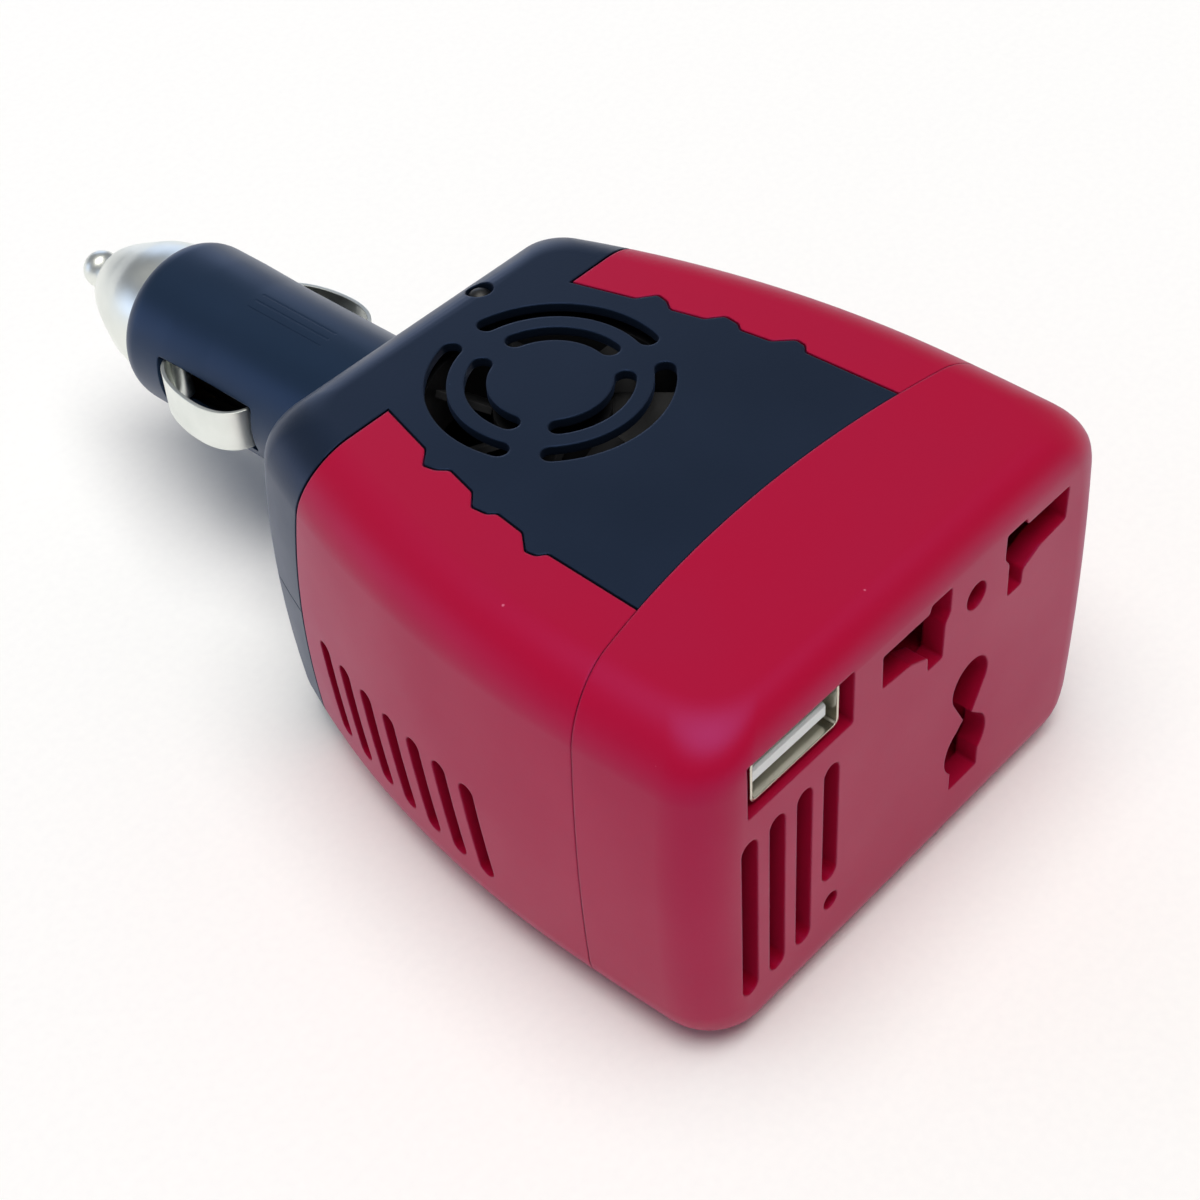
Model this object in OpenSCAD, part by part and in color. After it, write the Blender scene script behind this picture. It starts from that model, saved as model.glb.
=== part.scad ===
// Car power inverter: a plug-in housing with a fan, a universal mains outlet and a USB port.
// Y runs from the outlet face (low) to the plug tip (high), X is across, Z is up from the base.
// Lengths named ..._s are measured back from the outlet face.

/* [Housing] */
// Length of the housing from the outlet face to the rear wall
body_length = 71; // [68:0.5:76]
// Height of the housing
body_height = 44; // [42:0.5:48]
// Half of the widest part of the housing
max_half = 33.8; // [32.5:0.1:36]
// How far back from the outlet face the housing is widest
widest_s = 20; // [16:1:24]
// Radius of the flank behind the widest part
flank_rear_r = 125; // [115:5:150]
// Radius of the flank ahead of the widest part
flank_front_r = 350; // [250:10:500]
// Corner radius in plan at the outlet face
front_corner_r = 6; // [4:0.5:7]
// Corner radius in plan at the plug end
rear_corner_r = 5; // [4:0.5:7]
// Total wall of the housing
wall = 2.8; // [2.4:0.1:3.2]
// Thickness of the coloured side panels
panel_t = 1.5; // [1.2:0.1:1.7]

/* [Edge rounding] */
// Edge radius along the flanks
side_edge_r = 6.4; // [5:0.2:7]
// Edge radius at the plug end
rear_edge_r = 5; // [4:0.2:6]
// Edge radius at the outlet face
front_edge_r = 4.2; // [3:0.2:5]
// How far the flanks bulge at mid height
side_bulge = 1.3; // [0.6:0.1:1.6]
// How far the rear wall bulges at mid height
rear_bulge = 2.2; // [1:0.1:2.4]

/* [Front cover] */
// Where the cover meets the shells on the centre line
seam_s = 20; // [18:0.5:22]
// Plan radius of that seam
seam_r = 126; // [110:2:150]
// Thickness of the outlet face
face_t = 2.6; // [2.2:0.1:3]

/* [Fan] */
// Fan axis, back from the outlet face
fan_s = 48; // [46:0.5:49]
// Side of the square fan frame
fan_size = 30; // [29:0.5:31]
// Thickness of the fan
fan_h = 8; // [7:0.5:9]

/* [Plug] */
// Height of the plug axis
plug_z = 23; // [22:0.5:24]
// Radius of the barrel where it enters the socket
barrel_r = 10.4; // [10.3:0.05:10.5]
// Where the barrel ends
barrel_end_s = 111.4; // [110:0.2:113]
// Where the nose cap ends
nose_end_s = 124.8; // [124.4:0.2:126]
// Radius of the sprung tip pin
tip_r = 2.45; // [2.3:0.05:2.5]
// How far the tip pin stands out of the nose cap
tip_out = 5.4; // [5:0.1:5.8]

/* [Outlet] */
// Centre line of the mains outlet
outlet_x = 8.9; // [8:0.1:10]
// Centre line of the USB port
usb_x = -19; // [-19.5:0.1:-18.5]
// Height of the middle of the USB port
usb_z = 36.8; // [36:0.1:37]

/* [Hidden] */
$fn = 64;
skin = 0.01;
total_length = nose_end_s + tip_out;
front_y = -total_length / 2;
mid_z = body_height / 2;
black = [0.14, 0.17, 0.22];
red = [0.66, 0.07, 0.2];
nickel = [0.82, 0.83, 0.8];
brass = [0.8, 0.66, 0.3];

// Screw places on one side, as [x, s]
front_screw = [23.2, 28];
rear_screw = [18.5, 58.5];
screw_head_r = 2.4;
screw_r = 1.15;
column_r = 2.8;

// Fan grille: slots 2.35 wide in two rings of three arcs
grille_w = 2.35;
inner_ring_r = 7.85;
outer_ring_r = 12.03;
led_place = [7, 65];
led_r = 1.6;
vent_s = 30.2;
vent_pitch = 4.28;
vent_z = 15.4;
vent_w = 2.2;
vent_half = 5.55;

// Contact leaf: pivot, then a curve that bows out and tucks back in
pivot = [-8, 102.9];
eye_r = 1.1;
post_r = 0.6;
leaf_t = 0.5;
leaf_w = 5.6;
leaf_a = [[-8.3, 103.7], [-11.2, 104.4], [-13, 98.5], [-12.8, 93.8]];
leaf_b = [[-12.8, 93.8], [-12.6, 91.6], [-11.9, 89.4], [-9.3, 88.8]];
slot_low_s = 87.9;
slot_high_s = 104.4;
slot_half_h = 3.3;
rear_barrel_r = barrel_r - 0.2;
barrel_bore_r = 8.4;

board_z = 8;
board_t = 1.6;
board_top = board_z + board_t;
fan_top = body_height - wall;
fan_low = fan_top - fan_h;

module placed() translate([0, front_y, 0]) children();
module both_sides() { children(); mirror([1, 0, 0]) children(); }
module along_y(s, z) translate([0, s, z]) rotate([-90, 0, 0]) children();

// ---- outer form ----

function edge_inset(depth, r) = depth < r ? r - sqrt(r * r - pow(r - depth, 2)) : 0;
function inset(z, low, high, r, bulge) =
    edge_inset(min(z - low, high - z), r) + bulge * pow((z - mid_z) / mid_z, 2);

// One side of the plan outline, from the outlet face to the rear wall
function half_outline(side, rear, front) =
    let (fr = flank_front_r - side, rr = flank_rear_r - side,
        fcx = max_half - flank_front_r, rcx = max_half - flank_rear_r,
        fcs = front + front_corner_r, rcs = body_length - rear - rear_corner_r,
        fa = asin((widest_s - fcs) / (fr - front_corner_r)),
        ra = asin((rcs - widest_s) / (rr - rear_corner_r)),
        fx = fcx + (fr - front_corner_r) * cos(fa), rx = rcx + (rr - rear_corner_r) * cos(ra))
    concat(
        [for (i = [0:4]) let (a = -90 + i * (90 - fa) / 4)
            [fx + front_corner_r * cos(a), fcs + front_corner_r * sin(a)]],
        [for (i = [1:2]) let (a = -fa + i * fa / 3)
            [fcx + fr * cos(a), widest_s + fr * sin(a)]],
        [for (i = [0:5]) let (a = i * ra / 6)
            [rcx + rr * cos(a), widest_s + rr * sin(a)]],
        [for (i = [0:4]) let (a = ra + i * (90 - ra) / 4)
            [rx + rear_corner_r * cos(a), rcs + rear_corner_r * sin(a)]]);
function outline(side, rear, front) =
    let (right = half_outline(side, rear, front), n = len(right))
    concat(right, [for (i = [0:n - 1]) [-right[n - 1 - i][0], right[n - 1 - i][1]]]);

// The housing as a solid, drawn in by w on every side
module body_solid(w = 0) {
    low = w;
    high = body_height - w;
    sr = side_edge_r - w;
    steps = [for (i = [0:6]) sr * (1 - cos(i * 15))];
    levels = concat([for (d = steps) low + d], [mid_z], [for (d = steps) high - d]);
    hull() for (z = levels)
        translate([0, 0, min(z, high - skin)]) linear_extrude(skin)
            polygon(outline(w + inset(z, low, high, sr, side_bulge),
                w + inset(z, low, high, rear_edge_r - w, rear_bulge),
                w + inset(z, low, high, max(front_edge_r - w, 1), 0)));
}

// Everything ahead of the cover's seam
module cover_zone()
    translate([0, seam_s - seam_r, -1]) cylinder(r = seam_r, h = body_height + 2, $fn = 360);

// The stepped edge of a side panel, as [x, s], from the rear to the front
panel_edge = [[12.6, 66], [13.8, 58], [15.9, 50.3], [17.9, 48.7], [17.6, 47.2], [16.7, 46],
    [17.7, 42], [19.4, 40.5], [19.2, 38.6], [18.5, 37.8], [19, 34], [20.8, 32], [20.6, 30.7],
    [19.7, 30], [20.4, 10]];
panel_rear_r = 138;
panel_rear_z = 8;
panel_rear_s = 62.7;

// The space of the right side panel; gap draws its edges in
module panel_zone(gap = 0) intersection() {
    translate([gap, 0, -1]) linear_extrude(body_height + 2)
        polygon(concat(panel_edge, [[60, 10], [60, 66]]));
    translate([0, panel_rear_s - panel_rear_r - gap, panel_rear_z]) rotate([0, 90, 0])
        cylinder(r = panel_rear_r, h = 60, $fn = 360);
    difference() {
        translate([0, 0, -1]) cube([60, body_length, body_height + 2]);
        cover_zone();
    }
}

module shell_blank() difference() {
    body_solid();
    body_solid(wall);
    cover_zone();
    both_sides() difference() {
        panel_zone();
        body_solid(panel_t);
    }
}

module side_vents(x_low, x_high) for (i = [0:6])
    translate([0, vent_s + i * vent_pitch, vent_z]) rotate([-7, 0, 0]) {
        translate([x_low, -vent_w / 2, -vent_half]) cube([x_high - x_low, vent_w, 2 * vent_half]);
        for (z = [-vent_half, vent_half]) translate([x_low, 0, z]) rotate([0, 90, 0])
            cylinder(d = vent_w, h = x_high - x_low, $fn = 32);
    }

module grille_ring(r, end_angle) for (a = [90, 210, 330]) rotate([0, 0, a + end_angle]) {
    rotate_extrude(angle = 120 - 2 * end_angle) translate([r - grille_w / 2, 0])
        square([grille_w, wall + 2]);
    for (b = [0, 120 - 2 * end_angle]) rotate([0, 0, b]) translate([r, 0, 0])
        cylinder(d = grille_w - 0.1, h = wall + 2, $fn = 32);
}

module column_places() both_sides() for (p = [front_screw, rear_screw])
    translate([p[0], p[1], 0]) children();
module fan_screw_places() for (x = [-12, 12], y = [-12, 12]) translate([x, fan_s + y, 0]) children();

module upper_shell() placed() color(black) difference() {
    union() {
        difference() {
            shell_blank();
            translate([-50, -1, -1]) cube([100, 90, mid_z + 1]);
        }
        column_places() translate([0, 0, mid_z]) cylinder(r = column_r, h = mid_z - wall + 0.5);
        translate([-24, 13, fan_top - 1.2]) cube([12, 9, 1.3]);
    }
    column_places() translate([0, 0, mid_z - 1]) cylinder(r = screw_r, h = 12);
    translate([0, fan_s, fan_top - 1]) {
        grille_ring(inner_ring_r, 19.4);
        grille_ring(outer_ring_r, 13.2);
    }
    fan_screw_places() translate([0, 0, fan_top - 1]) cylinder(r = 0.9, h = 2.4, $fn = 24);
    translate([led_place[0], led_place[1], 30]) cylinder(r = led_r, h = 20, $fn = 32);
    along_y(60, plug_z) cylinder(r = rear_barrel_r, h = 20);
    both_sides() side_vents(20, 50);
}

module lower_shell() placed() color(black) difference() {
    union() {
        difference() {
            shell_blank();
            translate([-50, -1, mid_z]) cube([100, 90, mid_z + 1]);
        }
        column_places() translate([0, 0, panel_t]) cylinder(r = column_r, h = mid_z - panel_t);
        board_screw_places() translate([0, 0, wall - 0.1]) cylinder(r = 2.2, h = board_z - wall + 0.1);
        translate([-8, 13, wall - 0.1]) cube([10, 9, 1.3]);
    }
    column_places() {
        translate([0, 0, -1]) cylinder(r = screw_r, h = 30);
        translate([0, 0, -1]) cylinder(r = screw_head_r + 0.1, h = 3.4);
    }
    board_screw_places() translate([0, 0, wall]) cylinder(r = 0.9, h = 8, $fn = 24);
    along_y(60, plug_z) cylinder(r = rear_barrel_r, h = 20);
    both_sides() side_vents(20, 50);
}

module side_panel_right() difference() {
    intersection() {
        panel_zone(0.25);
        difference() {
            body_solid();
            body_solid(panel_t);
        }
    }
    side_vents(20, 50);
    for (p = [front_screw, rear_screw]) translate([p[0], p[1], -1])
        cylinder(r = screw_head_r + 0.4, h = 5);
}
module right_side_panel() placed() color(red) side_panel_right();
module left_side_panel() placed() color(red) mirror([1, 0, 0]) side_panel_right();

// ---- outlet face ----

// One line slot of the outlet, as [x from the centre line, height]
line_slot = [[4.6, 39.5], [8, 39.5], [8.2, 38.6], [15.6, 38.6], [15.5, 34.3], [11, 33.9],
    [8.1, 32.6], [8, 30.7], [5.5, 30.7], [5.4, 35.2], [4.6, 36.3]];
earth_top_z = 22.8;
earth_low_z = 13.6;
module earth_shape() {
    translate([0, earth_top_z]) circle(r = 3.05);
    translate([0, earth_low_z]) circle(r = 3.65);
    polygon([[-2.7, earth_top_z - 1.4], [-0.75, 17.8], [-2.9, earth_low_z + 2.2],
        [2.9, earth_low_z + 2.2], [0.75, 17.8], [2.7, earth_top_z - 1.4]]);
    translate([-2.5, 8.4]) square([5, 4]);
}
// Extrudes an [x, z] shape back from s_low by depth
module from_face(s_low, depth) translate([0, s_low + depth, 0]) rotate([90, 0, 0])
    linear_extrude(depth) children();
module outlet_cuts(s_low, depth) from_face(s_low, depth) translate([outlet_x, 0]) {
    polygon(line_slot);
    mirror([1, 0]) polygon(line_slot);
    earth_shape();
}
module front_vents() for (i = [0:3]) {
    x = -26.55 + i * 4.1;
    low = i < 3 ? 7.4 + 1.2 : 13.4 + 1.2;
    from_face(-1, 6) translate([x - 1.2, low]) square([2.4, 30.2 - 1.2 - low]);
    for (z = [low, 30.2 - 1.2]) translate([x, -1, z]) rotate([-90, 0, 0])
        cylinder(r = 1.2, h = 6, $fn = 32);
}

boss_depth = 5;
carrier_s = face_t + boss_depth;
carrier_depth = 10.4;
module boss_area(grow = 0) {
    translate([outlet_x - 17.2 - grow, 29.2 - grow]) square([34.4 + 2 * grow, 11.4 + 2 * grow]);
    translate([outlet_x - 5 - grow, 6.6 - grow]) square([10 + 2 * grow, 23 + 2 * grow]);
}

module outlet_spot() translate([outlet_x - 0.2, -1, 35.1]) rotate([-90, 0, 0]) cylinder(r = 1.65, h = 6);
cover_wall = wall - 0.4;

module front_cover() placed() color(red) difference() {
    intersection() {
        difference() {
            body_solid();
            intersection() {
                body_solid(cover_wall);
                translate([-50, face_t, 0]) cube([100, 60, 60]);
            }
        }
        cover_zone();
    }
    outlet_cuts(-1, 12);
    front_vents();
    outlet_spot();
    from_face(-1, 6) translate([usb_x - 7.8, usb_z - 3.4]) square([15.7, 6.9]);
    translate([-13.9, -1, 9.7]) rotate([-90, 0, 0]) cylinder(r = 1.1, h = 6, $fn = 32);
}
// The deep block behind the face that guides the plug pins
module outlet_boss() placed() color(red) difference() {
    from_face(face_t, boss_depth) boss_area();
    outlet_cuts(-1, 12);
    outlet_spot();
}

module outlet_carrier() placed() color([0.12, 0.12, 0.13]) difference() {
    from_face(carrier_s, carrier_depth) boss_area();
    from_face(carrier_s - 1, carrier_depth + 2) translate([outlet_x, 0]) for (m = [0, 1]) mirror([m, 0]) {
        translate([5, 30.4]) square([3, 9.3]);
        translate([7.9, 33.7]) square([8, 5.5]);
    }
    from_face(carrier_s - 1, carrier_depth + 2) translate([outlet_x - 4.3, 8.2])
        square([8.6, 18]);
}

// A pair of brass jaws joined behind the carrier
module jaws(x, z, w, h) {
    translate([x, carrier_s + 0.4, z]) cube([w, carrier_depth, 0.5]);
    translate([x, carrier_s + 0.4, z + h - 0.5]) cube([w, carrier_depth, 0.5]);
    translate([x, carrier_s + carrier_depth + 0.2, z]) cube([w, 0.6, h]);
}
module live_contact() placed() color(brass) jaws(outlet_x + 8.4, 33.7, 7, 5.5);
module neutral_contact() placed() color(brass) jaws(outlet_x - 15.4, 33.7, 7, 5.5);
module earth_contact() placed() color(brass) {
    for (x = [-4.3, 3.8]) translate([outlet_x + x, carrier_s + 0.4, 10])
        cube([0.5, carrier_depth, 7]);
    translate([outlet_x - 4.3, carrier_s + carrier_depth + 0.2, 10]) cube([8.6, 0.6, 7]);
}

// ---- USB port ----

usb_w = 13.1;
usb_h = 5.7;
usb_wall = 0.35;
usb_front_s = 0.7;
usb_len = 14;
tongue_z = usb_z - usb_h / 2 + usb_wall + 0.8;
module usb_shell() placed() color(nickel) difference() {
    translate([usb_x - usb_w / 2, usb_front_s, usb_z - usb_h / 2]) cube([usb_w, usb_len, usb_h]);
    translate([usb_x - usb_w / 2 + usb_wall, usb_front_s - 1, usb_z - usb_h / 2 + usb_wall])
        cube([usb_w - 2 * usb_wall, usb_len - 1, usb_h - 2 * usb_wall]);
}
module usb_tongue() placed() color("white") {
    translate([usb_x - 5.55, usb_front_s + 1.4, tongue_z]) cube([11.1, 9, 1.84]);
    translate([usb_x - usb_w / 2 + usb_wall, usb_front_s + 10.3, usb_z - usb_h / 2 + usb_wall])
        cube([usb_w - 2 * usb_wall, 1.6, usb_h - 2 * usb_wall]);
}
module usb_pins() placed() color(brass) for (x = [-3.5, -1, 1, 3.5])
    translate([usb_x + x - 0.5, usb_front_s + 2.2, tongue_z + 1.84]) cube([1, 8, 0.2]);
module usb_board() placed() color([0.1, 0.35, 0.2]) difference() {
    translate([usb_x - 8, 4, usb_z - usb_h / 2 - board_t]) cube([16, 18, board_t]);
    for (x = [-6, 6]) translate([usb_x + x, 19.5, 0]) cylinder(r = 1.1, h = 60, $fn = 24);
}

module indicator_led() placed() color([0.2, 0.05, 0.05])
    translate([led_place[0], led_place[1], 36.5]) {
        cylinder(r = led_r, h = 5.6, $fn = 32);
        translate([0, 0, 5.6]) sphere(r = led_r, $fn = 32);
        cylinder(r = led_r + 0.3, h = 1.2, $fn = 32);
    }

// ---- plug ----

module plug_barrel() placed() color(black) difference() {
    union() {
        along_y(64.5, plug_z) cylinder(r = 12, h = 2.8);
        along_y(64.5, plug_z) cylinder(r = rear_barrel_r, h = slot_high_s + 0.2 - 64.5);
        along_y(slot_high_s + 0.1, plug_z) cylinder(r = barrel_r, h = barrel_end_s - slot_high_s - 0.6);
        along_y(barrel_end_s - 0.5, plug_z) cylinder(r1 = barrel_r, r2 = barrel_r - 0.5, h = 0.5);
    }
    along_y(64, plug_z) cylinder(r = barrel_bore_r, h = 60);
    both_sides() {
        translate([-14, slot_low_s, plug_z - slot_half_h])
            cube([10, slot_high_s - slot_low_s, 2 * slot_half_h]);
        post_place() cylinder(r = post_r, h = 8.6, center = true, $fn = 32);
    }
}

module post_place() translate([pivot[0], pivot[1], plug_z]) children();
module contact_posts() placed() color("silver") both_sides()
    post_place() cylinder(r = post_r, h = 8.6, center = true, $fn = 32);

function bezier(p, t) = pow(1 - t, 3) * p[0] + 3 * t * pow(1 - t, 2) * p[1]
    + 3 * t * t * (1 - t) * p[2] + pow(t, 3) * p[3];
function bezier_dir(p, t) = let (d = pow(1 - t, 2) * (p[1] - p[0])
    + 2 * t * (1 - t) * (p[2] - p[1]) + t * t * (p[3] - p[2])) d / norm(d);
function leaf_side(k) = concat(
    [for (i = [0:9]) let (d = bezier_dir(leaf_a, i / 10)) bezier(leaf_a, i / 10) + k * [-d[1], d[0]]],
    [for (i = [0:8]) let (d = bezier_dir(leaf_b, i / 8)) bezier(leaf_b, i / 8) + k * [-d[1], d[0]]]);
function reversed(v) = [for (i = [len(v) - 1:-1:0]) v[i]];
module leaf() translate([0, 0, plug_z - leaf_w / 2]) difference() {
    union() {
        linear_extrude(leaf_w)
            polygon(concat(leaf_side(leaf_t / 2), reversed(leaf_side(-leaf_t / 2))));
        translate([pivot[0], pivot[1], 0]) cylinder(r = eye_r, h = leaf_w, $fn = 32);
    }
    translate([pivot[0], pivot[1], -1]) cylinder(r = post_r + 0.05, h = leaf_w + 2, $fn = 32);
}
module left_contact() placed() color(nickel) leaf();
module right_contact() placed() color(nickel) mirror([1, 0, 0]) leaf();

cap_base_s = barrel_end_s;
tip_stop_s = nose_end_s - 1.2;
module nose_cap() placed() color(nickel) translate([0, 0, plug_z]) rotate([-90, 0, 0]) rotate_extrude() {
    polygon([[barrel_bore_r - 1, cap_base_s - 4.4], [barrel_bore_r, cap_base_s - 4.4],
        [barrel_bore_r, cap_base_s], [9, cap_base_s], [8.6, cap_base_s + 3],
        [7.7, cap_base_s + 6], [6.8, cap_base_s + 8.4], [5.6, cap_base_s + 10.8],
        [4.5, nose_end_s - 1], [3.7, nose_end_s - 0.5], [3.1, nose_end_s],
        [tip_r + 0.07, nose_end_s], [tip_r + 0.07, tip_stop_s], [3.6, tip_stop_s],
        [4.4, cap_base_s + 10], [6.2, cap_base_s + 7], [barrel_bore_r - 1, cap_base_s + 2]]);
}

flange_r = 3;
fuse_r = 3.1;
fuse_len = 30;
fuse_front_s = tip_stop_s - 3;
fuse_rear_s = fuse_front_s - fuse_len;
module tip_contact() placed() color(nickel) {
    along_y(fuse_front_s, plug_z) cylinder(r = flange_r, h = 2.6);
    along_y(fuse_front_s + 1, plug_z) cylinder(r = tip_r, h = total_length - tip_r - fuse_front_s - 1);
    translate([0, total_length - tip_r, plug_z]) sphere(r = tip_r);
}
module fuse_glass() placed() color([0.8, 0.9, 0.9]) difference() {
    along_y(fuse_rear_s + 5.5, plug_z) cylinder(r = fuse_r - 0.2, h = fuse_len - 11);
    along_y(fuse_rear_s + 5, plug_z) cylinder(r = fuse_r - 0.9, h = fuse_len - 10);
}
module fuse_end_caps() placed() color("silver")
    for (s = [fuse_rear_s, fuse_front_s - 5.5]) along_y(s, plug_z) cylinder(r = fuse_r, h = 5.5);
module fuse_sleeve() placed() color([0.2, 0.2, 0.2]) difference() {
    along_y(72.5, plug_z) cylinder(r = 4.2, h = 38);
    along_y(72, plug_z) cylinder(r = fuse_r + 0.35, h = 40);
}
terminal_end_s = 74.5;
module tip_terminal() placed() color(brass) {
    along_y(72.5, plug_z) cylinder(r = fuse_r + 0.35, h = 2);
    along_y(terminal_end_s, plug_z) cylinder(r = 1.4, h = 3);
}

// A round wire wound about Y, as rings of points along a helix
wire_r = 0.35;
coil_r = 2.3;
turns = 7;
coil_low_s = terminal_end_s + wire_r + 0.05;
coil_high_s = fuse_rear_s - wire_r - 0.05;
function helix_ring(a) = let (s = coil_low_s + (coil_high_s - coil_low_s) * a / (360 * turns))
    [for (b = [0:60:300]) let (r = coil_r + wire_r * cos(b))
        [r * cos(a), s + wire_r * sin(b), r * sin(a) + plug_z]];
module tip_spring() placed() color("silver") {
    step = 24;
    rings = [for (a = [0:step:360 * turns]) helix_ring(a)];
    n = len(rings);
    polyhedron([for (r = rings) each r], concat([[for (j = [0:5]) j]],
        [for (i = [0:n - 2], j = [0:5]) let (k = (j + 1) % 6)
            [6 * i + j, 6 * i + 6 + j, 6 * i + 6 + k, 6 * i + k]],
        [[for (j = [5:-1:0]) 6 * (n - 1) + j]]));
}

// A lead that runs along the plug at x and height z, then bends down to the board
lead_r = 0.9;
lead_bend = 5;
lead_down_s = 54.6;
module lead(x, z, from_s) translate([x, 0, 0]) {
    along_y(lead_down_s + lead_bend - skin, z)
        cylinder(r = lead_r, h = from_s - lead_down_s - lead_bend + skin, $fn = 24);
    translate([0, lead_down_s + lead_bend, z - lead_bend]) rotate([0, 0, 180]) rotate([0, -90, 0])
        rotate_extrude(angle = 90) translate([lead_bend, 0]) circle(r = lead_r, $fn = 24);
    translate([0, lead_down_s, board_top])
        cylinder(r = lead_r, h = z - lead_bend - board_top + skin, $fn = 24);
}
// The negative lead runs under the fuse to a ring behind the contact leaves
ring_s = 105;
ring_low_r = 4.6;
negative_x = -3;
negative_z = plug_z - 5.8;
module positive_lead() placed() color("red") lead(0, plug_z, 72.5);
module negative_lead() placed() color("black") lead(negative_x, negative_z, ring_s);
module contact_ring() placed() color(brass) difference() {
    along_y(ring_s, plug_z) cylinder(r = barrel_bore_r - 0.05, h = 0.6);
    along_y(ring_s - 1, plug_z) cylinder(r = ring_low_r, h = 3);
}

// ---- fan ----

hub_r = 6.3;
blade_tip_r = 13.1;
fan_bore_r = 13.6;
base_t = 1.2;
module fan_frame() placed() color([0.1, 0.1, 0.1]) translate([0, fan_s, fan_low]) {
    difference() {
        translate([-fan_size / 2, -fan_size / 2, 0]) cube([fan_size, fan_size, fan_h]);
        translate([0, 0, -1]) cylinder(r = fan_bore_r, h = fan_h + 2);
        for (x = [-12, 12], y = [-12, 12]) translate([x, y, -1]) cylinder(r = 1.1, h = fan_h + 2, $fn = 24);
    }
    difference() {
        union() {
            cylinder(r = hub_r, h = base_t);
            for (a = [30:120:270]) rotate([0, 0, a]) translate([0, -1, 0]) cube([fan_bore_r + 0.3, 2, base_t]);
        }
        translate([0, 0, -1]) cylinder(r = 1.6, h = 4, $fn = 32);
    }
}
module fan_bush() placed() color(brass) translate([0, fan_s, fan_low]) difference() {
    cylinder(r = 1.6, h = 5.4, $fn = 32);
    translate([0, 0, -1]) cylinder(r = 0.8, h = 8, $fn = 32);
}
module fan_stator() placed() color([0.7, 0.35, 0.15]) translate([0, fan_s, fan_low + base_t])
    difference() {
        cylinder(r = 4.6, h = 3.6);
        translate([0, 0, -1]) cylinder(r = 1.6, h = 6, $fn = 32);
        for (a = [45:90:315]) rotate([0, 0, a]) translate([2.8, -0.6, -1]) cube([3, 1.2, 6]);
    }
module fan_rotor() placed() color([0.08, 0.08, 0.08]) translate([0, fan_s, fan_low + base_t + 0.4]) {
    difference() {
        cylinder(r = hub_r, h = 5.6);
        translate([0, 0, -1]) cylinder(r = hub_r - 1.2, h = 5.4);
        cylinder(r = 0.75, h = 8, $fn = 32);
    }
    intersection() {
        for (a = [0:360 / 7:359]) rotate([0, 0, a]) translate([hub_r - 0.5, 0, 2.8]) rotate([38, 0, 0])
            translate([0, -3.6, -0.4]) cube([8, 7.2, 0.8]);
        difference() {
            cylinder(r = blade_tip_r, h = 5.6);
            translate([0, 0, -1]) cylinder(r = hub_r - 0.4, h = 8);
        }
    }
}
module fan_shaft() placed() color("silver") translate([0, fan_s, fan_low + 0.3])
    cylinder(r = 0.75, h = 6.9, $fn = 32);
module fan_screws() placed() color("silver") fan_screw_places() {
    translate([0, 0, fan_low - 1.2]) cylinder(r = 1.9, h = 1.2, $fn = 32);
    translate([0, 0, fan_low]) cylinder(r = 0.9, h = fan_h + 1.4, $fn = 24);
}

// ---- circuit ----

board_half = 15.5;
board_low_s = 19.2;
board_high_s = 56.5;
module board_screw_places() for (x = [-12.5, 12.5], s = [21.4, 53.8]) translate([x, s, 0]) children();
module main_board() placed() color([0.1, 0.35, 0.2]) difference() {
    translate([-board_half, board_low_s, board_z]) cube([2 * board_half, board_high_s - board_low_s, board_t]);
    board_screw_places() translate([0, 0, board_z - 1]) cylinder(r = 1.1, h = 4, $fn = 24);
}
module board_screws() placed() color("silver") board_screw_places() {
    translate([0, 0, board_top]) cylinder(r = 1.7, h = 1.2, $fn = 32);
    translate([0, 0, wall + 0.4]) cylinder(r = 0.9, h = board_top - wall - 0.3, $fn = 24);
}
core_z = board_top + 2;
module transformer_core() placed() color([0.25, 0.25, 0.27]) difference() {
    translate([-9, 26, core_z]) cube([18, 16, 16]);
    for (z = [core_z + 2.5, core_z + 10]) translate([-6, 25, z]) cube([12, 18, 3.5]);
}
module transformer_winding() placed() color([0.85, 0.7, 0.2]) {
    for (z = [core_z + 2.6, core_z + 10.1]) translate([-5.9, 24.6, z]) cube([11.8, 18.8, 3.3]);
    for (s = [24.6, 42.1]) translate([-5.9, s, core_z + 2.6]) cube([11.8, 1.3, 10.8]);
    for (x = [-5, 5], s = [25.2, 42.8]) translate([x, s, board_top]) cylinder(r = 0.5, h = 5, $fn = 24);
}
module capacitor(r, h) {
    translate([0, 0, 0.6]) cylinder(r = r, h = h);
    cylinder(r = r - 0.6, h = 1);
}
module input_capacitors() placed() color([0.1, 0.15, 0.35])
    for (x = [-5.3, 5.3]) translate([x, 48.4, board_top]) capacitor(4.2, 17);
module output_capacitor() placed() color([0.12, 0.12, 0.12])
    translate([5, 22, board_top]) capacitor(2.6, 12);
module control_chip() placed() color([0.08, 0.08, 0.08]) {
    translate([-8.5, 20, board_top + 0.8]) cube([9.6, 3.4, 2.6]);
    for (x = [-7.6:2.54:1], s = [19.8, 23.2]) translate([x, s, board_top]) cube([0.5, 0.5, 1.6]);
}
sink_s = 24;
module heat_sinks() placed() color([0.75, 0.75, 0.77]) both_sides() {
    translate([13.8, sink_s, board_top]) cube([1.5, 26, 19]);
    for (s = [sink_s + 3:5:sink_s + 24]) translate([15.2, s, board_top + 3]) cube([3, 1, 16]);
}
module power_transistors() placed() color([0.1, 0.1, 0.1]) both_sides() for (s = [28, 39]) {
    translate([9.6, s, board_top + 4]) cube([4.2, 10, 9]);
    for (k = [2.2, 4.75, 7.3]) translate([11.2, s + k, board_top]) cube([0.6, 0.7, 4.2]);
}

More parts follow.
